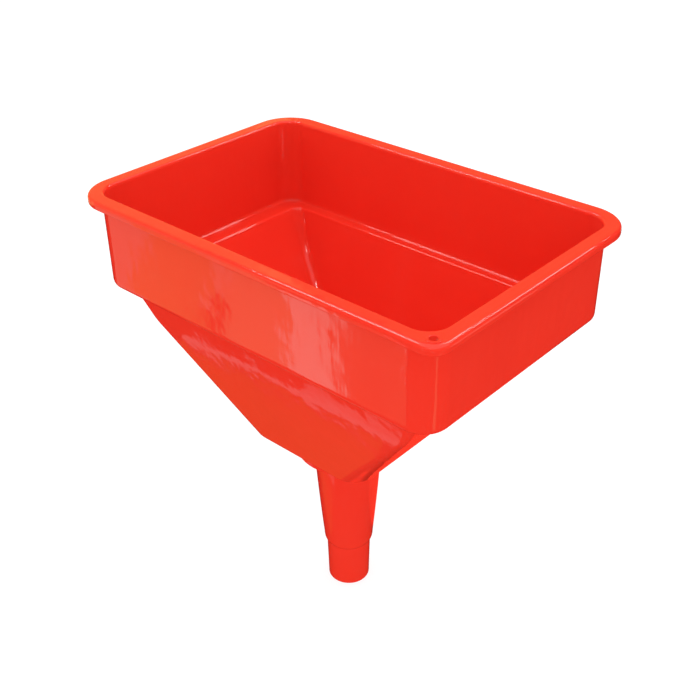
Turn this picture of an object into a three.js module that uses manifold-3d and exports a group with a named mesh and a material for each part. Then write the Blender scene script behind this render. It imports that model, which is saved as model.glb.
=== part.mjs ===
// Rectangular tractor funnel with a lift-out brass strainer.
//
// Millimetres, +Z up. The origin is on the spout's axis, where the shoulder of the spout meets the
// narrower tip: that is where the funnel sits on a filler neck. +X runs along the long side of the
// tray, towards the end with the hanging hole, and -Y is the side that the hole is on.
//
// The hopper is a thin shell of even thickness. It is lofted through stations: level rounded
// rectangles that climb the outside from the outlet to the rim, then go down the inside again.

import * as THREE from 'three';
import Module from 'manifold-3d';
import { mergeVertices } from 'three/addons/utils/BufferGeometryUtils.js';

const wasm = await Module();
wasm.setup();

// Driving dimensions
const fitGap = 0.3;                 // clearance between pieces that touch
const shellThickness = 2.6;         // hopper and spout wall

const funnelLength = 375;           // over the rim, along X
const funnelWidth = 253.6;          // over the rim, along Y
const rimTop = 346;                 // height of the rim above the spout's shoulder
const rimOverhang = 11.9;           // rim edge beyond the tray wall
const rimLipDepth = 6.8;            // depth of the turned-down lip
const rimCornerRadius = 35;
const holeCornerRadius = 14;        // the rim is fuller at the corner with the hanging hole
const trayCornerRadius = 21;
const trayDepth = 83.7;             // rim to the underside of the ledge
const ledgeWidthX = 18.5;
const ledgeWidthY = 11.4;
const ledgeCornerRadius = 10;
const bendDrop = 115.4;             // rim to the bend between the two slopes
const bendHalfX = 138.9;
const bendHalfY = 94.5;
const bendCornerRadius = 5;
const floorDrop = 217;              // rim to the underside of the hopper floor
const floorHalfX = 63.3;
const floorHalfY = 61.1;
const floorCornerRadius = 20.3;
const pocketRadius = 46.6;          // outside of the round strainer pocket
const pocketDepth = 19.3;
const pocketEdge = 1;               // bevel on the pocket's edges

const hangingHoleRadius = 3.2;
const hangingHoleInset = 11.7;      // from both edges of the rim
const holeBossRadius = 5.6;
const holeBossRise = 0.5;

const spoutTopRadius = 31;
const spoutBellyRadius = 27.2;
const spoutFootRadius = 23.2;
const spoutFootHeight = 8;          // where the taper ends and the shoulder begins
const tipTopRadius = 20.6;
const tipEndRadius = 19.5;
const tipLength = 46;
const spoutFlangeRadius = 43.4;

const strainerRadius = 43.2;
const strainerSheet = 1;            // brass sheet thickness
const strainerHeight = 9;
const gauzeThickness = 0.8;
const seatWidth = 6.5;                // lip under the gauze and ring above it
const bailWireRadius = 1;
const bailHoopRadius = 30;
const eyeWidth = 5;
const eyeHeight = 6.6;

// Levels and half sizes worked out from them
const halfLength = funnelLength / 2;
const halfWidth = funnelWidth / 2;
const hangingHoleX = halfLength - hangingHoleInset;
const hangingHoleY = -halfWidth + hangingHoleInset;
const trayHalfX = halfLength - rimOverhang;
const trayHalfY = halfWidth - rimOverhang;
const ledgeHalfX = trayHalfX - ledgeWidthX;
const ledgeHalfY = trayHalfY - ledgeWidthY;
const trayBottom = rimTop - trayDepth;
const bendLevel = rimTop - bendDrop;
const floorBottom = rimTop - floorDrop;
const floorTop = floorBottom + shellThickness;
const pocketBottom = floorBottom - pocketDepth;
const pocketFloor = pocketBottom + shellThickness;
const outletRadius = spoutTopRadius + fitGap;
const spoutFlangeTop = pocketFloor + fitGap + shellThickness;
const strainerBottom = spoutFlangeTop + fitGap;
const gauzeBottom = strainerBottom + strainerSheet + fitGap;
const retainerBottom = gauzeBottom + gauzeThickness + fitGap;
const retainerTop = retainerBottom + strainerSheet;
const retainerRadius = strainerRadius - strainerSheet - fitGap;
const bailPivotLevel = retainerTop + fitGap + eyeHeight - eyeWidth / 2;

const redPlastic = { color: 0xee2b24, roughness: 0.28, metalness: 0 };
const brass = { color: 0xc9a24b, roughness: 0.35, metalness: 1 };
const steelWire = { color: 0xb9bcc0, roughness: 0.3, metalness: 1 };

// Mesh helpers

function addPiece(parent, name, geometry, look) {
  geometry.computeVertexNormals();
  const mesh = new THREE.Mesh(geometry, new THREE.MeshStandardMaterial(look));
  mesh.name = name;
  parent.add(mesh);
  return mesh;
}

function toManifold(geometry) {
  const bare = geometry.clone();
  bare.deleteAttribute('normal');
  bare.deleteAttribute('uv');
  const merged = mergeVertices(bare, 1e-4);
  return new wasm.Manifold(new wasm.Mesh({
    numProp: 3,
    vertProperties: new Float32Array(merged.attributes.position.array),
    triVerts: new Uint32Array(merged.index.array),
  }));
}

function fromManifold(solid) {
  const mesh = solid.getMesh();
  const geometry = new THREE.BufferGeometry();
  geometry.setAttribute('position', new THREE.BufferAttribute(mesh.vertProperties, 3));
  geometry.setIndex(new THREE.BufferAttribute(mesh.triVerts, 1));
  return geometry;
}

// A solid of revolution about Z from a closed list of [radius, level] points.
function turned(outline, segments) {
  const points = outline.map(([radius, level]) => new THREE.Vector2(radius, level));
  points.push(points[0].clone());
  const geometry = new THREE.LatheGeometry(points, segments);
  geometry.rotateX(Math.PI / 2);
  return geometry;
}

// Hopper stations

const cornerSteps = 6;
const edgeSteps = 6;
const bendSteps = 3;

function station(halfX, halfY, radius, level, holeRadius = radius) {
  return [halfX, halfY, radius, level, holeRadius];
}

// The points of one level rounded rectangle, anticlockwise seen from above.
function rectangleRing([halfX, halfY, radius, level, holeRadius]) {
  const corners = [
    { sideX: 1, sideY: -1, start: -Math.PI / 2, r: holeRadius },
    { sideX: 1, sideY: 1, start: 0, r: radius },
    { sideX: -1, sideY: 1, start: Math.PI / 2, r: radius },
    { sideX: -1, sideY: -1, start: Math.PI, r: radius },
  ];
  const arcs = corners.map(({ sideX, sideY, start, r }) => {
    const centre = new THREE.Vector2(sideX * (halfX - r), sideY * (halfY - r));
    return Array.from({ length: cornerSteps + 1 }, (_, i) => {
      const angle = start + (i / cornerSteps) * Math.PI / 2;
      return new THREE.Vector2(centre.x + r * Math.cos(angle), centre.y + r * Math.sin(angle));
    });
  });
  const ring = [];
  arcs.forEach((arc, i) => {
    ring.push(...arc);
    const from = arc[cornerSteps];
    const to = arcs[(i + 1) % 4][0];
    for (let step = 1; step < edgeSteps; step += 1) {
      ring.push(from.clone().lerp(to, step / edgeSteps));
    }
  });
  return ring.map((point) => new THREE.Vector3(point.x, point.y, level));
}

// A level circle whose points lie in the same directions as those of the hopper floor.
function circleRing(radius, level) {
  return rectangleRing(floorStation).map((point) => {
    const direction = new THREE.Vector2(point.x, point.y).normalize();
    return new THREE.Vector3(direction.x * radius, direction.y * radius, level);
  });
}

// Replaces the corner station by a smooth bend that starts and ends at the given distance from it.
function roundedBend(before, corner, after, distance) {
  const towards = (from, to) => {
    const reach = Math.hypot(to[0] - from[0], to[3] - from[3]);
    return from.map((value, i) => value + (to[i] - value) * (distance / reach));
  };
  const start = towards(corner, before);
  const end = towards(corner, after);
  return Array.from({ length: bendSteps + 1 }, (_, step) => {
    const t = step / bendSteps;
    return start.map((value, i) => (1 - t) ** 2 * value + 2 * t * (1 - t) * corner[i] + t * t * end[i]);
  });
}

// Joins closed rings of equally many points into one closed skin, the last ring to the first.
function loftedShell(rings) {
  const count = rings[0].length;
  const positions = rings.flat().flatMap((point) => point.toArray());
  const indices = [];
  rings.forEach((_, i) => {
    const next = (i + 1) % rings.length;
    for (let j = 0; j < count; j += 1) {
      const k = (j + 1) % count;
      indices.push(i * count + j, i * count + k, next * count + k);
      indices.push(i * count + j, next * count + k, next * count + j);
    }
  });
  const geometry = new THREE.BufferGeometry();
  geometry.setAttribute('position', new THREE.Float32BufferAttribute(positions, 3));
  geometry.setIndex(indices);
  return geometry;
}

const floorStation = station(floorHalfX, floorHalfY, floorCornerRadius, floorBottom);

// How far the inside of a sloping wall lies inwards of its outside, at one level.
function wallInset(run, rise) {
  return shellThickness * Math.hypot(run, rise) / rise;
}

function outsideRings() {
  const bend = station(bendHalfX, bendHalfY, bendCornerRadius, bendLevel);
  const ledge = station(ledgeHalfX, ledgeHalfY, ledgeCornerRadius, trayBottom);
  const trayFoot = station(trayHalfX, trayHalfY, trayCornerRadius, trayBottom);
  const flangeUnder = rimTop - shellThickness;
  const trayHead = station(trayHalfX, trayHalfY, trayCornerRadius, flangeUnder);
  const lipInner = (level) => station(
    halfLength - shellThickness, halfWidth - shellThickness, rimCornerRadius - shellThickness,
    level, holeCornerRadius - shellThickness);
  const lipOuter = (level) => station(
    halfLength, halfWidth, rimCornerRadius, level, holeCornerRadius);
  const lipBottom = rimTop - rimLipDepth;
  const rimEdge = lipOuter(rimTop);
  const stations = [
    floorStation,
    ...roundedBend(floorStation, bend, ledge, 5),
    ledge,
    ...roundedBend(ledge, trayFoot, trayHead, 5.8),
    trayHead,
    lipInner(flangeUnder),
    lipInner(lipBottom),
    lipOuter(lipBottom),
    ...roundedBend(lipOuter(lipBottom), rimEdge, station(trayHalfX, trayHalfY, trayCornerRadius, rimTop), 3.4),
  ];
  return [
    circleRing(outletRadius, pocketBottom),
    circleRing(pocketRadius - pocketEdge, pocketBottom),
    circleRing(pocketRadius, pocketBottom + pocketEdge),
    circleRing(pocketRadius, floorBottom),
    ...stations.map(rectangleRing),
  ];
}

function insideRings() {
  const upperRise = bendLevel - trayBottom;
  const lowerRise = bendLevel - floorBottom;
  const upperSlopeX = (ledgeHalfX - bendHalfX) / -upperRise;
  const upperSlopeY = (ledgeHalfY - bendHalfY) / -upperRise;
  const lowerSlopeX = (bendHalfX - floorHalfX) / lowerRise;
  const lowerSlopeY = (bendHalfY - floorHalfY) / lowerRise;
  const innerX = trayHalfX - shellThickness;
  const innerY = trayHalfY - shellThickness;
  const innerCorner = trayCornerRadius - shellThickness;
  const rimInner = station(innerX, innerY, innerCorner, rimTop);
  const rimFlat = station(halfLength, halfWidth, rimCornerRadius, rimTop);
  const trayFloor = station(innerX, innerY, innerCorner, trayBottom + shellThickness);
  const ledge = station(
    ledgeHalfX - wallInset(upperSlopeX, 1) + shellThickness * upperSlopeX,
    ledgeHalfY - wallInset(upperSlopeY, 1) + shellThickness * upperSlopeY,
    ledgeCornerRadius, trayBottom + shellThickness);
  const bend = station(
    bendHalfX - wallInset(lowerSlopeX, 1), bendHalfY - wallInset(lowerSlopeY, 1),
    bendCornerRadius, bendLevel);
  const floor = station(
    floorHalfX - wallInset(lowerSlopeX, 1) + shellThickness * lowerSlopeX,
    floorHalfY - wallInset(lowerSlopeY, 1) + shellThickness * lowerSlopeY,
    floorCornerRadius - 1, floorTop);
  const stations = [
    ...roundedBend(rimFlat, rimInner, trayFloor, 3),
    ...roundedBend(rimInner, trayFloor, ledge, 4),
    ledge,
    ...roundedBend(ledge, bend, floor, 5),
    floor,
  ];
  const boreRadius = pocketRadius - shellThickness;
  return [
    ...stations.map(rectangleRing),
    circleRing(boreRadius + pocketEdge, floorTop),
    circleRing(boreRadius, floorTop - pocketEdge),
    circleRing(boreRadius, pocketFloor),
    circleRing(outletRadius, pocketFloor),
  ];
}

function hopperBody() {
  const shell = toManifold(loftedShell([...outsideRings(), ...insideRings()]));
  const boss = toManifold(turned([
    [0, rimTop - shellThickness / 2],
    [holeBossRadius, rimTop - shellThickness / 2],
    [holeBossRadius, rimTop + holeBossRise / 2],
    [holeBossRadius - 0.5, rimTop + holeBossRise],
    [0, rimTop + holeBossRise],
  ], 24).translate(hangingHoleX, hangingHoleY, 0));
  const drill = toManifold(turned([
    [0, rimTop - 2 * shellThickness],
    [hangingHoleRadius, rimTop - 2 * shellThickness],
    [hangingHoleRadius, rimTop + shellThickness],
    [0, rimTop + shellThickness],
  ], 24).translate(hangingHoleX, hangingHoleY, 0));
  return fromManifold(shell.add(boss).subtract(drill));
}

// Spout: a tapered tube with a slight belly, a rounded shoulder and a narrower tip.
function outletSpout() {
  const taperOutside = new THREE.QuadraticBezierCurve(
    new THREE.Vector2(spoutTopRadius, pocketBottom),
    new THREE.Vector2(spoutBellyRadius + 0.8, (pocketBottom + spoutFootHeight) / 2),
    new THREE.Vector2(spoutFootRadius, spoutFootHeight));
  const outside = taperOutside.getPoints(4).map((point) => [point.x, point.y]);
  const shoulder = [
    [spoutFootRadius - 0.7, spoutFootHeight * 0.55],
    [spoutFootRadius - 1.6, spoutFootHeight * 0.2],
    [tipTopRadius, 0],
  ];
  const tip = [
    [tipEndRadius, 1.2 - tipLength],
    [tipEndRadius - 1, -tipLength],
    [tipEndRadius - shellThickness, -tipLength],
  ];
  const inside = [
    [tipTopRadius - shellThickness, 0],
    ...outside.slice().reverse().map(([radius, level]) => [radius - shellThickness, level]),
  ];
  return turned([
    [spoutFlangeRadius, spoutFlangeTop],
    [spoutTopRadius - shellThickness, spoutFlangeTop],
    ...inside.reverse(),
    ...tip.reverse(),
    ...shoulder.reverse(),
    ...outside.reverse(),
    [spoutTopRadius, pocketFloor + fitGap],
    [spoutFlangeRadius, pocketFloor + fitGap],
  ], 40);
}

// Strainer pieces

function strainerFrame() {
  const inner = strainerRadius - strainerSheet;
  return turned([
    [strainerRadius - seatWidth, strainerBottom],
    [strainerRadius, strainerBottom],
    [strainerRadius, strainerBottom + strainerHeight],
    [inner, strainerBottom + strainerHeight],
    [inner, strainerBottom + strainerSheet],
    [strainerRadius - seatWidth, strainerBottom + strainerSheet],
  ], 48);
}

function strainerGauze() {
  return turned([
    [0, gauzeBottom],
    [retainerRadius, gauzeBottom],
    [retainerRadius, gauzeBottom + gauzeThickness],
    [0, gauzeBottom + gauzeThickness],
  ], 48);
}

function retainingRing() {
  const inner = strainerRadius - seatWidth;
  return turned([
    [inner, retainerBottom],
    [retainerRadius, retainerBottom],
    [retainerRadius, retainerTop],
    [inner, retainerTop],
  ], 48);
}

// An upright brass tab on the retaining ring, with a hole for the end of the bail.
function bailEye(side) {
  const base = retainerTop + fitGap;
  const outline = new THREE.Shape();
  outline.moveTo(-eyeWidth / 2, 0);
  outline.lineTo(eyeWidth / 2, 0);
  outline.lineTo(eyeWidth / 2, eyeHeight - eyeWidth / 2);
  outline.absarc(0, eyeHeight - eyeWidth / 2, eyeWidth / 2, 0, Math.PI, false);
  const hole = new THREE.Path();
  hole.absarc(0, eyeHeight - eyeWidth / 2, bailWireRadius + fitGap, 0, 2 * Math.PI, true);
  outline.holes.push(hole);
  const plate = new THREE.ExtrudeGeometry(outline, {
    depth: strainerSheet, bevelEnabled: false, curveSegments: 8,
  });
  plate.translate(0, 0, -strainerSheet / 2);
  plate.rotateX(Math.PI / 2);
  plate.rotateZ(Math.PI / 2);
  return plate.translate(side * (strainerRadius - seatWidth + 0.8), 0, base);
}

// A wire hoop that lies flat towards +Y, with straight ends that pass out through the eyes.
function strainerBail() {
  const path = new THREE.CurvePath();
  const point = (x, y) => new THREE.Vector3(x, y, bailPivotLevel);
  const endX = strainerRadius - seatWidth + 1.9;
  path.add(new THREE.LineCurve3(point(-endX, 0), point(-bailHoopRadius - 1, 0)));
  const hoop = Array.from({ length: 13 }, (_, i) => {
    const angle = Math.PI * (1 - i / 12);
    return point(bailHoopRadius * Math.cos(angle), 2 + bailHoopRadius * Math.sin(angle));
  });
  path.add(new THREE.CatmullRomCurve3([point(-bailHoopRadius - 1, 0), ...hoop, point(bailHoopRadius + 1, 0)]));
  path.add(new THREE.LineCurve3(point(bailHoopRadius + 1, 0), point(endX, 0)));
  const section = new THREE.Shape();
  section.absarc(0, 0, bailWireRadius, 0, 2 * Math.PI, false);
  return new THREE.ExtrudeGeometry(section, {
    steps: 40, curveSegments: 4, bevelEnabled: false, extrudePath: path,
  });
}

const funnel = new THREE.Group();
addPiece(funnel, 'hopper_body', hopperBody(), redPlastic);
addPiece(funnel, 'outlet_spout', outletSpout(), redPlastic);

const strainer = new THREE.Group();
addPiece(strainer, 'strainer_frame', strainerFrame(), brass);
addPiece(strainer, 'strainer_gauze', strainerGauze(), brass);
addPiece(strainer, 'strainer_retaining_ring', retainingRing(), brass);
addPiece(strainer, 'bail_eye_right', bailEye(1), brass);
addPiece(strainer, 'bail_eye_left', bailEye(-1), brass);
addPiece(strainer, 'strainer_bail', strainerBail(), steelWire);
funnel.add(strainer);

export default funnel;
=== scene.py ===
import math

import bpy
from mathutils import Matrix, Vector


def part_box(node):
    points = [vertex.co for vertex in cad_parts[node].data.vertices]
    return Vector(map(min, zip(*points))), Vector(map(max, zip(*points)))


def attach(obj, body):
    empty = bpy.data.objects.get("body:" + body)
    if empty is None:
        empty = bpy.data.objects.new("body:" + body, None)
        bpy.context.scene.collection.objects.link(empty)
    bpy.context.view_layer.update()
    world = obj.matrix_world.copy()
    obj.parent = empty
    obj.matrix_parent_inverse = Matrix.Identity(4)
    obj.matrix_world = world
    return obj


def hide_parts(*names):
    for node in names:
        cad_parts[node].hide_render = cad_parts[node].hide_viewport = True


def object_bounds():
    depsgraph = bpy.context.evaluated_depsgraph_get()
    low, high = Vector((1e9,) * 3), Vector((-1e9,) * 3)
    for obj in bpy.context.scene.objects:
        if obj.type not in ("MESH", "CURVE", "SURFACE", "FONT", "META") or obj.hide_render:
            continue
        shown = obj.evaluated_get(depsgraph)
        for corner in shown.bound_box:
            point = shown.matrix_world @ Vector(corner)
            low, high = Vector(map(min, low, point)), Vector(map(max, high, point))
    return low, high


# Looks for a rectangular tractor funnel with a lift-out brass strainer.
#
# Everything is in metres in the frame's own axes: the spout's axis is Z, +X runs along the tray's
# long side towards the hanging hole, and the origin is at the foot of the spout's shoulder.

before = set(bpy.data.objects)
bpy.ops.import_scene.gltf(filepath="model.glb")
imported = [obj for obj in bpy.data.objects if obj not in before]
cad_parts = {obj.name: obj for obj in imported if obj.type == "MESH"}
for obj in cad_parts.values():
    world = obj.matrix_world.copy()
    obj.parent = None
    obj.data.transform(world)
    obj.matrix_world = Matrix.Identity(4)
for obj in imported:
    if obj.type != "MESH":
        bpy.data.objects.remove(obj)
cad_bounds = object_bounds()

MM = 0.001

# Hopper shape. The overall sizes are read from the frame; these give the form between them.
SHELL = 2.6 * MM
RIM_OVERHANG = 11.9 * MM
LIP_DEPTH = 6.8 * MM
RIM_CORNER = 35 * MM
HOLE_CORNER = 14 * MM
TRAY_CORNER = 21 * MM
TRAY_DEPTH = 83.7 * MM
LEDGE_WIDTH_X = 18.5 * MM
LEDGE_WIDTH_Y = 11.4 * MM
LEDGE_CORNER = 10 * MM
BEND_DROP = 115.4 * MM
BEND_HALF_X = 138.9 * MM
BEND_HALF_Y = 94.5 * MM
BEND_CORNER = 5 * MM
FLOOR_HALF_X = 63.3 * MM
FLOOR_HALF_Y = 61.1 * MM
FLOOR_CORNER = 20.3 * MM
POCKET_RADIUS = 46.6 * MM
POCKET_DEPTH = 19.3 * MM
OUTLET_RADIUS = 31.3 * MM
HOLE_RADIUS = 3.2 * MM
HOLE_INSET = 11.7 * MM
BOSS_RADIUS = 5.6 * MM
BOSS_RISE = 0.5 * MM

# Spout shape, outside radii
SPOUT_HEAD_RADIUS = 31 * MM
SPOUT_BELLY_RADIUS = 28 * MM
SPOUT_FOOT_RADIUS = 23.2 * MM
SPOUT_FOOT_LEVEL = 8 * MM
TIP_HEAD_RADIUS = 20.6 * MM
TIP_END_RADIUS = 19.5 * MM

# Strainer shape
BRASS_SHEET = 1 * MM
SEAT_WIDTH = 6.5 * MM
CLAMP_WIDTH = 5.2 * MM
EYE_RADIUS = 1.3 * MM
WEAVE_PITCH = 1.6 * MM
HOOP_RADIUS = 30 * MM
HOOP_SHIFT = 2 * MM

# Camera
CAMERA_LENS = 53.03
CAMERA_YAW = math.radians(41.689)
CAMERA_PITCH = math.radians(32.182)
CAMERA_ROLL = math.radians(-0.466)
CAMERA_X = 0.50018
CAMERA_Y = -0.55757
CAMERA_ABOVE_RIM = 0.33591

# Colours of the lights and cards, and the height and heading of the cards on the floor. The cards
# hold little red, because the plastic adds its own, and are named for how they look mirrored in it.
WHITE = (1, 1, 1)
WARM = (0.3, 0.80, 0.42)
PINK = (0.3, 0.80, 0.60)
ORANGE = (0.3, 0.80, 0.26)
WINDOW = (0.3, 0.95, 0.84)
FAR_WINDOW = (0.5, 0.85, 0.7)
WALL_COLOUR = (1.0, 0.80, 0.25)
CARD_LEVEL = cad_bounds[0][2] + 4 * MM
WALL_HEADING = 46.9

# How many steps the rounded corners, the straight edges and the bends are made in
CORNER_STEPS = 14
EDGE_STEPS = 12
BEND_STEPS = 7


# ---------------------------------------------------------------------------------------------
# Mesh helpers

def mesh_piece(name, points, faces):
    """A smooth-shaded mesh object whose place is in its vertices."""
    mesh = bpy.data.meshes.new(name)
    mesh.from_pydata([tuple(point) for point in points], [], faces)
    mesh.validate()
    piece = bpy.data.objects.new(name, mesh)
    bpy.context.scene.collection.objects.link(piece)
    mesh.shade_smooth()
    return piece


def bend(before, corner, after, distance, steps=BEND_STEPS):
    """Rounds one corner of a profile, from distance before it to distance after it.

    A profile point is (half_x or radius, level, ...), and every value in it is blended.
    """
    def towards(target):
        reach = math.hypot(target[0] - corner[0], target[1] - corner[1])
        return [a + (b - a) * distance / reach for a, b in zip(corner, target)]

    start = towards(before)
    end = towards(after)
    rounded = []
    for step in range(steps + 1):
        t = step / steps
        weights = ((1 - t) ** 2, 2 * t * (1 - t), t * t)
        rounded.append(tuple(
            weights[0] * a + weights[1] * b + weights[2] * c
            for a, b, c in zip(start, corner, end)))
    return rounded


def rounded_profile(corners):
    """A closed profile from (point, rounding distance) pairs; distance 0 keeps a corner sharp."""
    profile = []
    for index, (point, distance) in enumerate(corners):
        if distance == 0:
            profile.append(point)
            continue
        before = corners[index - 1][0]
        after = corners[(index + 1) % len(corners)][0]
        profile += bend(before, point, after, distance, 4)
    return profile


def station(half_x, half_y, radius, level, hole_radius=None):
    return (half_x, level, half_y, radius, radius if hole_radius is None else hole_radius)


def rectangle_ring(shape):
    """The points of one level rounded rectangle, anticlockwise seen from above."""
    half_x, level, half_y, radius, hole_radius = shape
    arcs = []
    corners = (
        (1, -1, -90, hole_radius),
        (1, 1, 0, radius),
        (-1, 1, 90, radius),
        (-1, -1, 180, radius),
    )
    for side_x, side_y, start, r in corners:
        arc = []
        for step in range(CORNER_STEPS + 1):
            angle = math.radians(start + 90 * step / CORNER_STEPS)
            arc.append(Vector((
                side_x * (half_x - r) + r * math.cos(angle),
                side_y * (half_y - r) + r * math.sin(angle),
                level)))
        arcs.append(arc)
    ring = []
    for index, arc in enumerate(arcs):
        ring += arc
        following = arcs[(index + 1) % 4][0]
        ring += [arc[-1].lerp(following, step / EDGE_STEPS) for step in range(1, EDGE_STEPS)]
    return ring


def loft(name, rings):
    """Joins closed rings of equally many points into one skin, the last ring to the first."""
    count = len(rings[0])
    faces = []
    for i in range(len(rings)):
        following = (i + 1) % len(rings)
        for j in range(count):
            k = (j + 1) % count
            faces.append((
                i * count + j, i * count + k, following * count + k, following * count + j))
    return mesh_piece(name, [point for ring in rings for point in ring], faces)


def lathe(name, profile, segments=96):
    """A solid of revolution about Z from a closed profile of (radius, level) points."""
    rings = []
    for radius, level in profile:
        rings.append([
            Vector((radius * math.cos(2 * math.pi * k / segments),
                    radius * math.sin(2 * math.pi * k / segments), level))
            for k in range(segments)])
    return loft(name, rings)


def tube(name, path, radius, sides):
    """A round wire along a list of points, with flat ends."""
    points = []
    faces = []
    count = len(path)
    side = None
    for i, point in enumerate(path):
        ahead = path[min(i + 1, count - 1)]
        behind = path[max(i - 1, 0)]
        along = (ahead - behind).normalized()
        side = along.orthogonal() if side is None else side - along * side.dot(along)
        side.normalize()
        up = along.cross(side)
        for s in range(sides):
            angle = 2 * math.pi * s / sides
            points.append(point + radius * (math.cos(angle) * side + math.sin(angle) * up))
    for i in range(count - 1):
        a = i * sides
        b = a + sides
        for s in range(sides):
            n = (s + 1) % sides
            faces.append((a + s, a + n, b + n, b + s))
    faces.append(tuple(reversed(range(sides))))
    faces.append(tuple(range((count - 1) * sides, count * sides)))
    return mesh_piece(name, points, faces)


def apply_modifiers(piece):
    """Bakes the modifiers into the mesh."""
    graph = bpy.context.evaluated_depsgraph_get()
    baked = bpy.data.meshes.new_from_object(piece.evaluated_get(graph))
    piece.modifiers.clear()
    piece.data = baked


def steady_normals(piece, angle=40):
    """Keeps broad faces flat beside their rounded edges."""
    piece.data.set_sharp_from_angle(angle=math.radians(angle))
    modifier = piece.modifiers.new("steady normals", "WEIGHTED_NORMAL")
    modifier.keep_sharp = True
    modifier.weight = 80


def finish_piece(piece, body, material, slot, *nodes):
    """Gives the piece its material, lets it ride on a body and stand for its CAD nodes."""
    piece.data.materials.clear()
    piece.data.materials.append(material)
    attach(piece, body)
    if nodes:
        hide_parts(*nodes)


# ---------------------------------------------------------------------------------------------
# Material helpers

class Nodes:
    """Short calls for building one material's node tree."""

    def __init__(self, name):
        self.material = bpy.data.materials.new(name)
        self.material.use_nodes = True
        self.tree = self.material.node_tree
        self.shader = self.tree.nodes["Principled BSDF"]
        self.place = self.tree.nodes.new("ShaderNodeTexCoord").outputs["Object"]

    def link(self, source, target):
        self.tree.links.new(source, target)

    def set(self, **values):
        for name, value in values.items():
            self.shader.inputs[name.replace("_", " ")].default_value = value

    def scaled(self, x, y, z):
        node = self.tree.nodes.new("ShaderNodeMapping")
        node.inputs["Scale"].default_value = (x, y, z)
        self.link(self.place, node.inputs["Vector"])
        return node.outputs["Vector"]

    def noise(self, scale, detail=3.0, roughness=0.5, vector=None):
        node = self.tree.nodes.new("ShaderNodeTexNoise")
        node.inputs["Scale"].default_value = scale
        node.inputs["Detail"].default_value = detail
        node.inputs["Roughness"].default_value = roughness
        self.link(vector or self.place, node.inputs["Vector"])
        return node.outputs["Fac"]

    def spread(self, value, low, high, to_low, to_high):
        node = self.tree.nodes.new("ShaderNodeMapRange")
        node.inputs["From Min"].default_value = low
        node.inputs["From Max"].default_value = high
        node.inputs["To Min"].default_value = to_low
        node.inputs["To Max"].default_value = to_high
        self.link(value, node.inputs["Value"])
        return node.outputs["Result"]

    def sum(self, first, second):
        node = self.tree.nodes.new("ShaderNodeMath")
        node.operation = "ADD"
        self.link(first, node.inputs[0])
        self.link(second, node.inputs[1])
        return node.outputs["Value"]

    def mix(self, factor, first, second):
        node = self.tree.nodes.new("ShaderNodeMix")
        node.data_type = "RGBA"
        self.link(factor, node.inputs["Factor"])
        for socket, colour in ((node.inputs[6], first), (node.inputs[7], second)):
            if isinstance(colour, tuple):
                socket.default_value = (*colour, 1)
            else:
                self.link(colour, socket)
        return node.outputs[2]

    def bump(self, height, distance, strength, under=None):
        node = self.tree.nodes.new("ShaderNodeBump")
        node.inputs["Distance"].default_value = distance
        node.inputs["Strength"].default_value = strength
        self.link(height, node.inputs["Height"])
        if under:
            self.link(under, node.inputs["Normal"])
        return node.outputs["Normal"]


# ---------------------------------------------------------------------------------------------
# Materials

def red_polyethylene():
    """Glossy moulded polyethylene: slow colour flow, sink marks, ripples and dulled patches."""
    n = Nodes("red polyethylene")
    flow = n.noise(9, detail=4, roughness=0.55, vector=n.scaled(1.0, 1.0, 0.35))
    mottle = n.noise(70, detail=3, roughness=0.5)
    deep_red = (0.85, 0.0345, 0.0185)
    red = (0.87, 0.0375, 0.0195)
    pale_red = (0.88, 0.042, 0.0205)
    colour = n.mix(n.spread(flow, 0.35, 0.65, 0, 1), deep_red, red)
    colour = n.mix(n.spread(mottle, 0.55, 0.8, 0, 0.35), colour, pale_red)
    n.link(colour, n.shader.inputs["Base Color"])

    handling = n.noise(24, detail=5, roughness=0.6)
    n.link(n.spread(handling, 0.3, 0.75, 0.05, 0.11), n.shader.inputs["Roughness"])

    sink = n.bump(n.noise(18, detail=3, roughness=0.5), distance=2.3 * MM, strength=0.5)
    streaks = n.noise(1.0, detail=2, roughness=0.4, vector=n.scaled(150, 150, 26))
    ripple = n.bump(streaks, distance=0.22 * MM, strength=0.5, under=sink)
    pores = n.noise(520, detail=2, roughness=0.5)
    skin = n.bump(pores, distance=0.02 * MM, strength=0.4, under=ripple)
    n.link(skin, n.shader.inputs["Normal"])
    n.set(IOR=1.51, Subsurface_Weight=0.12, Subsurface_Scale=0.004)
    n.shader.inputs["Subsurface Radius"].default_value = (1.0, 0.12, 0.06)
    return n.material


def brass_sheet():
    """Pressed brass: fine turned marks, and brown tarnish in patches."""
    n = Nodes("brass sheet")
    tarnish = n.noise(70, detail=5, roughness=0.62)
    colour = n.mix(n.spread(tarnish, 0.38, 0.72, 0, 1), (0.80, 0.55, 0.20), (0.46, 0.28, 0.10))
    n.link(colour, n.shader.inputs["Base Color"])
    lines = n.noise(1.0, detail=3, roughness=0.6, vector=n.scaled(240, 240, 5200))
    n.link(n.spread(n.sum(tarnish, lines), 0.7, 1.3, 0.22, 0.48), n.shader.inputs["Roughness"])
    n.link(n.bump(lines, distance=0.04 * MM, strength=0.4), n.shader.inputs["Normal"])
    n.set(Metallic=1.0)
    return n.material


def brass_wire():
    """Fine drawn brass wire, with darker tarnish in patches."""
    n = Nodes("brass wire cloth")
    shade = n.noise(260, detail=3, roughness=0.6)
    colour = n.mix(n.spread(shade, 0.3, 0.7, 0, 1), (0.86, 0.62, 0.25), (0.60, 0.39, 0.14))
    n.link(colour, n.shader.inputs["Base Color"])
    n.link(n.spread(shade, 0.3, 0.7, 0.24, 0.42), n.shader.inputs["Roughness"])
    n.set(Metallic=1.0)
    return n.material


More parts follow.
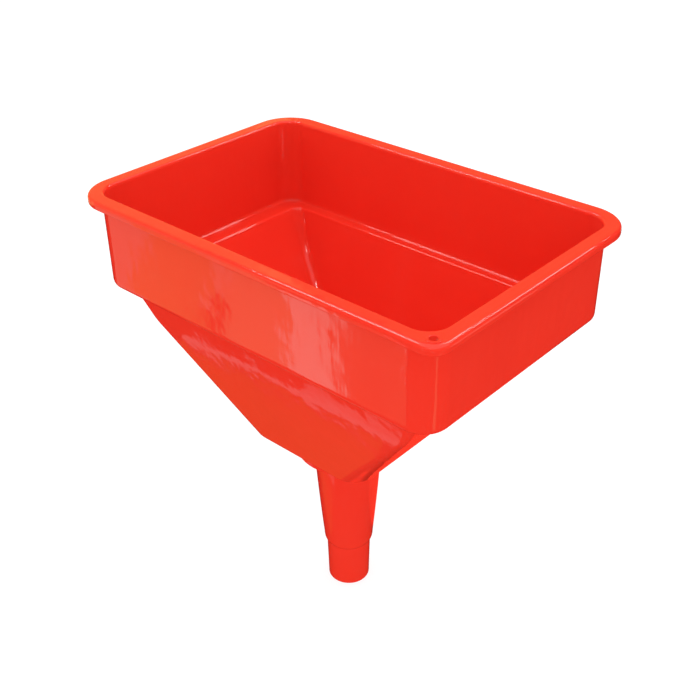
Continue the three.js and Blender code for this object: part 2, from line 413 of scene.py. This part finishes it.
def steel_wire():
    """Bright drawn steel wire with fine die lines and a little grey oxide."""
    n = Nodes("steel wire")
    oxide = n.noise(320, detail=4, roughness=0.6)
    colour = n.mix(n.spread(oxide, 0.45, 0.75, 0, 1), (0.70, 0.71, 0.72), (0.42, 0.42, 0.43))
    n.link(colour, n.shader.inputs["Base Color"])
    lines = n.noise(1.0, detail=2, roughness=0.5, vector=n.scaled(300, 4200, 4200))
    n.link(n.spread(lines, 0.3, 0.7, 0.18, 0.36), n.shader.inputs["Roughness"])
    n.link(n.bump(lines, distance=0.02 * MM, strength=0.4), n.shader.inputs["Normal"])
    n.set(Metallic=1.0)
    return n.material


def floor_paper():
    """Plain pale paper."""
    n = Nodes("pale paper")
    grain = n.noise(900, detail=3, roughness=0.6)
    n.link(n.mix(grain, (0.28, 0.28, 0.28), (0.31, 0.31, 0.31)), n.shader.inputs["Base Color"])
    n.set(Roughness=0.9, Specular_IOR_Level=0.1, Emission_Strength=0.80)
    n.shader.inputs["Emission Color"].default_value = (1, 1, 1, 1)
    return n.material


# ---------------------------------------------------------------------------------------------
# Hopper

hopper_low, hopper_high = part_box("hopper_body")
rim_top = hopper_high[2] - BOSS_RISE
half_length = hopper_high[0]
half_width = hopper_high[1]
tray_half_x = half_length - RIM_OVERHANG
tray_half_y = half_width - RIM_OVERHANG
tray_bottom = rim_top - TRAY_DEPTH
bend_level = rim_top - BEND_DROP
pocket_bottom = hopper_low[2]
floor_bottom = pocket_bottom + POCKET_DEPTH
floor_top = floor_bottom + SHELL
pocket_floor = pocket_bottom + SHELL
ledge_half_x = tray_half_x - LEDGE_WIDTH_X
ledge_half_y = tray_half_y - LEDGE_WIDTH_Y
hole_x = half_length - HOLE_INSET
hole_y = -half_width + HOLE_INSET

floor_edge = station(FLOOR_HALF_X, FLOOR_HALF_Y, FLOOR_CORNER, floor_bottom)


def circle_ring(radius, level):
    """A level circle whose points lie in the same directions as those of the hopper floor."""
    ring = []
    for point in rectangle_ring(floor_edge):
        direction = Vector((point.x, point.y)).normalized() * radius
        ring.append(Vector((direction.x, direction.y, level)))
    return ring


def circle_bend(before, corner, after, distance):
    rounded = bend(before, corner, after, distance, 4)
    return [circle_ring(radius, level) for radius, level in rounded]


def hopper_outside():
    slope_bend = station(BEND_HALF_X, BEND_HALF_Y, BEND_CORNER, bend_level)
    ledge = station(ledge_half_x, ledge_half_y, LEDGE_CORNER, tray_bottom)
    tray_foot = station(tray_half_x, tray_half_y, TRAY_CORNER, tray_bottom)
    flange_under = rim_top - SHELL
    tray_head = station(tray_half_x, tray_half_y, TRAY_CORNER, flange_under)
    lip_bottom = rim_top - LIP_DEPTH

    def lip(inset, level):
        return station(half_length - inset, half_width - inset, RIM_CORNER - inset, level,
                       HOLE_CORNER - inset)

    rim_flat = station(tray_half_x, tray_half_y, TRAY_CORNER, rim_top)
    stations = [
        *bend((POCKET_RADIUS, floor_bottom, POCKET_RADIUS, POCKET_RADIUS, POCKET_RADIUS),
              floor_edge, slope_bend, 2.5 * MM),
        *bend(floor_edge, slope_bend, ledge, 6 * MM),
        *bend(slope_bend, ledge, tray_foot, 2.5 * MM, 4),
        *bend(ledge, tray_foot, tray_head, 6.2 * MM),
        *bend(tray_foot, tray_head, lip(SHELL, flange_under), 1.2 * MM, 3),
        *bend(tray_head, lip(SHELL, flange_under), lip(SHELL, lip_bottom), 1.0 * MM, 3),
        *bend(lip(SHELL, flange_under), lip(SHELL, lip_bottom), lip(0, lip_bottom), 0.8 * MM, 3),
        *bend(lip(SHELL, lip_bottom), lip(0, lip_bottom), lip(0, rim_top), 1.1 * MM, 4),
        *bend(lip(0, lip_bottom), lip(0, rim_top), rim_flat, 3.6 * MM),
    ]
    pocket_foot = (POCKET_RADIUS, pocket_bottom)
    pocket_head = (POCKET_RADIUS, floor_bottom)
    return [
        circle_ring(OUTLET_RADIUS, pocket_bottom),
        *circle_bend((OUTLET_RADIUS, pocket_bottom), pocket_foot, pocket_head, 1 * MM),
        *circle_bend(pocket_foot, pocket_head, (FLOOR_HALF_X, floor_bottom), 2 * MM),
        *[rectangle_ring(shape) for shape in stations],
    ]


def hopper_inside():
    upper_x = (ledge_half_x - BEND_HALF_X) / (tray_bottom - bend_level)
    upper_y = (ledge_half_y - BEND_HALF_Y) / (tray_bottom - bend_level)
    lower_x = (BEND_HALF_X - FLOOR_HALF_X) / (bend_level - floor_bottom)
    lower_y = (BEND_HALF_Y - FLOOR_HALF_Y) / (bend_level - floor_bottom)

    def inset(slope):
        """How far the inside of a sloping wall lies inwards of its outside, at one level."""
        return SHELL * math.hypot(slope, 1)

    inner_x = tray_half_x - SHELL
    inner_y = tray_half_y - SHELL
    inner_corner = TRAY_CORNER - SHELL
    rim_flat = station(half_length, half_width, RIM_CORNER, rim_top, HOLE_CORNER)
    rim_inner = station(inner_x, inner_y, inner_corner, rim_top)
    tray_floor = station(inner_x, inner_y, inner_corner, tray_bottom + SHELL)
    ledge = station(
        ledge_half_x - inset(upper_x) + SHELL * upper_x,
        ledge_half_y - inset(upper_y) + SHELL * upper_y,
        LEDGE_CORNER, tray_bottom + SHELL)
    slope_bend = station(
        BEND_HALF_X - inset(lower_x),
        BEND_HALF_Y - inset(lower_y),
        BEND_CORNER + 2 * MM, bend_level)
    floor = station(
        FLOOR_HALF_X - inset(lower_x) + SHELL * lower_x,
        FLOOR_HALF_Y - inset(lower_y) + SHELL * lower_y,
        FLOOR_CORNER - 1 * MM, floor_top)
    bore = POCKET_RADIUS - SHELL
    bore_foot = (bore, pocket_floor)
    outlet_edge = (OUTLET_RADIUS, pocket_floor)
    stations = [
        *bend(rim_flat, rim_inner, tray_floor, 3.2 * MM),
        *bend(rim_inner, tray_floor, ledge, 4 * MM),
        *bend(tray_floor, ledge, slope_bend, 2.2 * MM, 5),
        *bend(ledge, slope_bend, floor, 7 * MM),
        *bend(slope_bend, floor, (bore, floor_top, bore, bore, bore), 5 * MM),
    ]
    return [
        *[rectangle_ring(shape) for shape in stations],
        *circle_bend((FLOOR_HALF_X, floor_top), (bore, floor_top), bore_foot, 1.2 * MM),
        *circle_bend((bore, floor_top), bore_foot, outlet_edge, 1.2 * MM),
        circle_ring(*outlet_edge),
    ]


def make_hopper(plastic):
    hopper = loft("hopper", hopper_outside() + hopper_inside())
    drill_core = 0.001 * MM
    drill_radius = HOLE_RADIUS + 0.9 * MM
    drill = lathe("drill", [
        (drill_core, rim_top - 2 * SHELL),
        (drill_radius, rim_top - 2 * SHELL),
        (drill_radius, rim_top + SHELL),
        (drill_core, rim_top + SHELL),
    ], 48)
    drill.data.transform(Matrix.Translation((hole_x, hole_y, 0)))
    cut = hopper.modifiers.new("hanging hole", "BOOLEAN")
    cut.object = drill
    cut.solver = "EXACT"
    apply_modifiers(hopper)
    bpy.data.objects.remove(drill)
    steady_normals(hopper)
    finish_piece(hopper, "funnel", plastic, "red_plastic", "hopper_body")

    collar = lathe("hole_collar", rounded_profile([
        ((HOLE_RADIUS, rim_top - SHELL - 0.3 * MM), 0.3 * MM),
        ((BOSS_RADIUS, rim_top - SHELL - 0.3 * MM), 0.3 * MM),
        ((BOSS_RADIUS, rim_top + BOSS_RISE - 0.05 * MM), 0.45 * MM),
        ((HOLE_RADIUS, rim_top + BOSS_RISE - 0.05 * MM), 0.7 * MM),
    ]), 64)
    collar.data.transform(Matrix.Translation((hole_x, hole_y, 0)))
    finish_piece(collar, "funnel", plastic, "red_plastic")


# ---------------------------------------------------------------------------------------------
# Spout

def make_spout(plastic):
    """Tapered tube with a slight belly, a rounded shoulder, and a narrower tip with a soft end."""
    low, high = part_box("outlet_spout")
    flange_radius = high[0]
    top, end = high[2], low[2]
    flange_foot = top - SHELL
    flange_edge = (flange_radius, top)
    head, foot = SPOUT_HEAD_RADIUS, SPOUT_FOOT_RADIUS
    tip_head, tip_end = TIP_HEAD_RADIUS, TIP_END_RADIUS

    outside = []
    for step in range(25):
        t = step / 24
        radius = (1 - t) ** 2 * head + 2 * t * (1 - t) * SPOUT_BELLY_RADIUS + t * t * foot
        outside.append((radius, pocket_bottom + (SPOUT_FOOT_LEVEL - pocket_bottom) * t))
    shoulder = []
    for step in range(1, 9):
        angle = math.pi / 2 * step / 8
        shoulder.append((
            tip_head + (foot - tip_head) * math.cos(angle),
            SPOUT_FOOT_LEVEL * (1 - math.sin(angle))))
    tip = bend((tip_head, 0), (tip_end, end), (tip_end - SHELL, end), 1.2 * MM, 5)
    inner_end = bend((tip_end, end), (tip_end - SHELL, end), (tip_head - SHELL, 0), 0.8 * MM, 4)
    inside = [(radius - SHELL, level) for radius, level in reversed(outside)]
    profile = [
        *bend((head - SHELL, top), flange_edge, (flange_radius, flange_foot), 0.7 * MM, 4),
        (flange_radius, flange_foot),
        (head, flange_foot),
        *outside,
        *shoulder,
        *tip,
        *inner_end,
        (tip_head - SHELL, 0),
        (tip_head - SHELL, 1.5 * MM),
        *inside,
        *bend((head - SHELL, pocket_bottom), (head - SHELL, top), flange_edge, 0.8 * MM, 4),
    ]
    spout = lathe("spout", list(reversed(profile)))
    steady_normals(spout, 50)
    finish_piece(spout, "funnel", plastic, "red_plastic", "outlet_spout")


# ---------------------------------------------------------------------------------------------
# Strainer

def make_strainer_frame(brass):
    """A pressed ring with a turned-in seat, a bead half way up and a rolled top edge."""
    low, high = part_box("strainer_frame")
    outer, bottom, top = high[0], low[2], high[2]
    seat = outer - SEAT_WIDTH
    sheet = BRASS_SHEET
    waist = bottom + 0.55 * (top - bottom)
    ring = lathe("strainer_ring", rounded_profile([
        ((seat, bottom), 0.3 * MM),
        ((outer, bottom), 0.9 * MM),
        ((outer, waist - 1 * MM), 0.3 * MM),
        ((outer - 0.35 * MM, waist), 0.3 * MM),
        ((outer, waist + 1 * MM), 0.3 * MM),
        ((outer, top), 0.45 * MM),
        ((outer - sheet, top), 0.45 * MM),
        ((outer - sheet, waist + 1 * MM), 0.3 * MM),
        ((outer - sheet - 0.3 * MM, waist), 0.3 * MM),
        ((outer - sheet, waist - 1 * MM), 0.3 * MM),
        ((outer - sheet, bottom + sheet), 0.15 * MM),
        ((seat, bottom + sheet), 0.3 * MM),
    ]), 160)
    steady_normals(ring, 60)
    finish_piece(ring, "strainer", brass, "brass_sheet", "strainer_frame")


def make_gauze(wire):
    """Plain-weave wire cloth: each wire passes over one crossing wire and under the next."""
    low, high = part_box("strainer_gauze")
    reach = high[0] - 0.2 * MM
    middle = (low[2] + high[2]) / 2
    wire_radius = (high[2] - low[2]) / 4
    pitch = WEAVE_PITCH
    sides = 5
    count = int(reach / pitch)
    points = []
    faces = []
    for direction in (0, 1):
        for row in range(-count, count + 1):
            offset = row * pitch
            half = math.sqrt(max(reach ** 2 - offset ** 2, 0))
            steps = int(half / (pitch / 2))
            if steps < 2:
                continue
            start = len(points)
            for step in range(-steps, steps + 1):
                along = step * pitch / 2
                crossing, between = divmod(step, 2)
                lift = 0 if between else (1 if (crossing + row + direction) % 2 == 0 else -1)
                level = middle + lift * wire_radius
                for side in range(sides):
                    angle = 2 * math.pi * side / sides
                    across = offset + wire_radius * math.cos(angle)
                    height = level + wire_radius * math.sin(angle)
                    point = (along, across) if direction == 0 else (across, along)
                    points.append((*point, height))
            for step in range(2 * steps):
                a = start + step * sides
                b = a + sides
                for side in range(sides):
                    n = (side + 1) % sides
                    quad = (a + side, b + side, b + n, a + n)
                    faces.append(quad if direction == 0 else tuple(reversed(quad)))
    gauze = mesh_piece("gauze", points, faces)
    finish_piece(gauze, "strainer", wire, "brass_gauze", "strainer_gauze")


def make_retaining_ring(brass):
    """A flat ring with a shallow pressed groove round its middle."""
    low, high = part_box("strainer_retaining_ring")
    outer, bottom, top = high[0], low[2], high[2]
    inner = outer - CLAMP_WIDTH
    middle = (inner + outer) / 2
    ring = lathe("retaining_ring", rounded_profile([
        ((inner, bottom), 0.2 * MM),
        ((outer, bottom), 0.2 * MM),
        ((outer, top), 0.3 * MM),
        ((middle + 0.7 * MM, top), 0.2 * MM),
        ((middle, top - 0.3 * MM), 0.2 * MM),
        ((middle - 0.7 * MM, top), 0.2 * MM),
        ((inner, top), 0.3 * MM),
    ]), 160)
    steady_normals(ring, 60)
    finish_piece(ring, "strainer", brass, "brass_sheet", "strainer_retaining_ring")


def make_bail_eye(name, brass):
    """An upright tab with a rounded head and a drilled eye, soft on every edge."""
    low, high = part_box(name)
    centre_x = (low[0] + high[0]) / 2
    half_thick = (high[0] - low[0]) / 2
    half = (high[1] - low[1]) / 2
    pivot = high[2] - half
    steps = 20
    outline = [(-half, low[2]), (half, low[2])]
    outline += [(half * math.cos(math.pi * k / steps), pivot + half * math.sin(math.pi * k / steps))
                for k in range(steps + 1)]
    hole = []
    for y, z in outline:
        angle = math.atan2(z - pivot, y)
        hole.append((EYE_RADIUS * math.cos(angle), pivot + EYE_RADIUS * math.sin(angle)))
    count = len(outline)
    points = []
    for x in (centre_x - half_thick, centre_x + half_thick):
        points += [(x, y, z) for y, z in outline + hole]
    faces = []
    for k in range(count):
        n = (k + 1) % count
        faces.append((k, k + count, n + count, n))
        faces.append((2 * count + k, 2 * count + n, 3 * count + n, 3 * count + k))
        faces.append((k, n, 2 * count + n, 2 * count + k))
        faces.append((count + k, 3 * count + k, 3 * count + n, count + n))
    tab = mesh_piece(name + "_tab", points, faces)
    soft = tab.modifiers.new("soft edges", "BEVEL")
    soft.width = 0.15 * MM
    soft.segments = 3
    soft.limit_method = "ANGLE"
    soft.angle_limit = math.radians(50)
    apply_modifiers(tab)
    steady_normals(tab)
    finish_piece(tab, "strainer", brass, "brass_sheet", name)


def make_bail(steel):
    """A folding wire hoop with short straight pivots."""
    low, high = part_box("strainer_bail")
    level = (low[2] + high[2]) / 2
    radius = (high[2] - low[2]) / 2
    tip_x = high[0] - 0.15 * MM
    knee_x = HOOP_RADIUS + 1.5 * MM
    flattening = 1 * MM
    corners = [Vector((-tip_x, 0, level)), Vector((-knee_x, 0, level))]
    for k in range(25):
        angle = math.pi * (1 - k / 24)
        y = HOOP_SHIFT + flattening + (HOOP_RADIUS - flattening) * math.sin(angle)
        corners.append(Vector((HOOP_RADIUS * math.cos(angle), y, level)))
    corners += [Vector((knee_x, 0, level)), Vector((tip_x, 0, level))]
    path = []
    for index, point in enumerate(corners):
        if index in (0, len(corners) - 1):
            path.append(point)
            continue
        if index in (1, len(corners) - 2):
            before, after = corners[index - 1], corners[index + 1]
            into = point + (before - point).normalized() * 1.6 * MM
            away = point.lerp(after, 0.7)
            for k in range(7):
                t = k / 6
                path.append((1 - t) ** 2 * into + 2 * t * (1 - t) * point + t * t * away)
            continue
        path.append(point)
    hoop_wire = tube("bail", path, radius - 0.05 * MM, 14)
    finish_piece(hoop_wire, "bail", steel, "steel_wire", "strainer_bail")


# ---------------------------------------------------------------------------------------------
# Stage, light and camera

def make_floor():
    size = 4.0
    level = cad_bounds[0][2]
    floor = mesh_piece("floor", [(-size, -size, level), (size, -size, level), (size, size, level),
                                 (-size, size, level)], [(0, 1, 2, 3)])
    floor.data.materials.append(floor_paper())
    floor.visible_glossy = False


def softbox(name, place, aim, width, height, brightness, colour=WHITE, mirrored=True):
    """A rectangular light, hidden from the camera. brightness is how bright its face looks.

    A mirrored one is only seen in gloss, and any other only lights the surface.
    """
    light = bpy.data.lights.new(name, "AREA")
    light.shape = "RECTANGLE"
    light.size = width
    light.size_y = height
    light.energy = 4 * width * height * brightness
    light.color = colour
    lamp = bpy.data.objects.new(name, light)
    towards = (Vector(aim) - Vector(place)).to_track_quat("-Z", "Y").to_matrix().to_4x4()
    lamp.matrix_world = Matrix.Translation(place) @ towards
    lamp.visible_camera = False
    lamp.visible_diffuse = not mirrored
    lamp.visible_glossy = mirrored
    bpy.context.scene.collection.objects.link(lamp)
    return lamp


def ceiling_light(name, x, y, level, width, depth, brightness):
    """A light that faces straight down and is only mirrored in the gloss."""
    softbox(name, (x, y, level), (x, y, 0), width, depth, brightness)


def floor_card(name, x, y, width, depth, brightness, colour=WHITE):
    """A card lying just over the floor, square to the axes, mirrored in the slopes and the bend."""
    return softbox(name, (x, y, CARD_LEVEL), (x, y, 1), width, depth, brightness, colour)


def slanted_card(name, across, along, width, length, brightness, colour, heading=WALL_HEADING):
    """A card lying just over the floor with its long side along a heading, mirrored in the walls.

    The heading is in degrees from +X. across and along measure the card's middle from the origin,
    square to the heading and along it.
    """
    turn = math.radians(heading)
    x = across * math.sin(turn) + along * math.cos(turn)
    y = -across * math.cos(turn) + along * math.sin(turn)
    card = floor_card(name, x, y, width, length, brightness, colour)
    flat = Matrix.Rotation(math.pi, 4, "X") @ Matrix.Rotation(math.pi / 2 - turn, 4, "Z")
    card.matrix_world = Matrix.Translation((x, y, CARD_LEVEL)) @ flat


def make_world():
    """Even white light from every side, which the gloss doesn't mirror."""
    world = bpy.data.worlds.new("white room")
    world.use_nodes = True
    background = world.node_tree.nodes["Background"]
    background.inputs["Color"].default_value = (1, 1, 1, 1)
    background.inputs["Strength"].default_value = 1.08
    world.cycles_visibility.glossy = False
    bpy.context.scene.world = world


def make_lights():
    softbox("overhead", (0, 0, 1.7), (0, 0, rim_top), 1.2, 1.0, brightness=1.6, mirrored=False)

    # Thin highlights on the rim, the ledge and the creases inside
    ceiling_light("ceiling", 0, 0, 1.9, 2.6, 2.2, brightness=0.6)
    ceiling_light("ceiling strip left", -0.58, -0.15, 1.3, 0.45, 0.22, brightness=9)
    ceiling_light("ceiling strip right", 0.42, 1.05, 1.2, 0.20, 0.50, brightness=8)
    ceiling_light("ceiling strip back", -0.08, 0.71, 1.2, 0.30, 0.25, brightness=5)
    crease = (-0.13, 0.08, 0.25)
    softbox("left of camera", (0.44, -0.71, 1.11), crease, 0.12, 0.12, brightness=14)
    softbox("front", (-0.05, -1.02, 0.87), crease, 0.10, 0.10, brightness=12)

    # Warm walls, mirrored in the top and the lip of the rim
    softbox("left wall", (-1, 0.17, 0.68), (0, 0.17, 0.68), 1.55, 1.4, 0.42, WALL_COLOUR)
    softbox("back wall", (-0.85, 1.5, 1.15), (-0.85, 0, 1.15), 1.7, 1.1, 0.24, WALL_COLOUR)
    softbox("near wall", (-0.95, -0.78, 0.42), (0, 0, 0.42), 0.9, 0.84, 0.50, WARM)

    # Cards mirrored side by side in the tray's long near wall, from its left end to its right
    slanted_card("low pink card", -0.225, -0.95, 0.150, 0.90, 0.64, PINK)
    slanted_card("low orange card", -0.090, -0.95, 0.120, 0.90, 0.54, ORANGE)
    slanted_card("low far pink card", -0.018, -1.05, 0.024, 0.70, 0.85, PINK)
    slanted_card("low warm card", 0.041, -0.95, 0.090, 0.90, 0.72, WARM)
    slanted_card("low window", 0.118, -0.60, 0.062, 0.34, 1.38, WINDOW)
    slanted_card("low dim card", 0.196, -0.57, 0.090, 0.40, 0.27, WARM)
    slanted_card("low first streak", 0.197, -0.55, 0.007, 0.36, 1.3, PINK)
    slanted_card("low second streak", 0.222, -0.55, 0.009, 0.36, 1.8, PINK)
    slanted_card("low edge streak", 0.240, -0.55, 0.004, 0.36, 5.0, WHITE)

    # Windows further off, mirrored in the walls from the other sides
    for heading in (0, 45, 90, 135, 180, 270, 315):
        slanted_card(f"far window {heading}", 0.10, 1.825, 0.26, 1.55, 0.75, FAR_WINDOW, heading)

    # Cards under the object, mirrored in its slopes
    floor_card("under bend", -0.19, -0.147, 0.34, 0.022, 0.30)
    floor_card("under band", -0.09, -0.166, 0.15, 0.022, 0.25)
    floor_card("under slope", -0.20, -0.09, 0.32, 0.08, 0.11, (1.0, 0.80, 0.10))
    floor_card("under right slope", 0.03, 0.22, 0.36, 0.30, 0.9, (1.0, 0.04, 0.02))
    floor_card("right corner card", 0.69, -0.20, 0.30, 0.07, 0.7, WARM)


def make_camera():
    """A view from above the near right corner, standing off about 0.8 m."""
    camera = bpy.data.cameras.new("camera")
    camera.lens = CAMERA_LENS
    camera.sensor_width = 36
    camera.clip_start = 0.01
    viewer = bpy.data.objects.new("camera", camera)
    bpy.context.scene.collection.objects.link(viewer)
    yaw = Matrix.Rotation(CAMERA_YAW, 4, "Z")
    pitch = Matrix.Rotation(math.pi / 2 - CAMERA_PITCH, 4, "X")
    roll = Matrix.Rotation(CAMERA_ROLL, 4, "Z")
    place = Matrix.Translation((CAMERA_X, CAMERA_Y, rim_top + CAMERA_ABOVE_RIM))
    viewer.matrix_world = place @ yaw @ pitch @ roll
    bpy.context.scene.camera = viewer


plastic = red_polyethylene()
brass = brass_sheet()
make_hopper(plastic)
make_spout(plastic)
make_strainer_frame(brass)
make_gauze(brass_wire())
make_retaining_ring(brass)
make_bail_eye("bail_eye_left", brass)
make_bail_eye("bail_eye_right", brass)
make_bail(steel_wire())
make_floor()
make_world()
make_lights()
make_camera()
bpy.context.scene.view_settings.view_transform = "Standard"
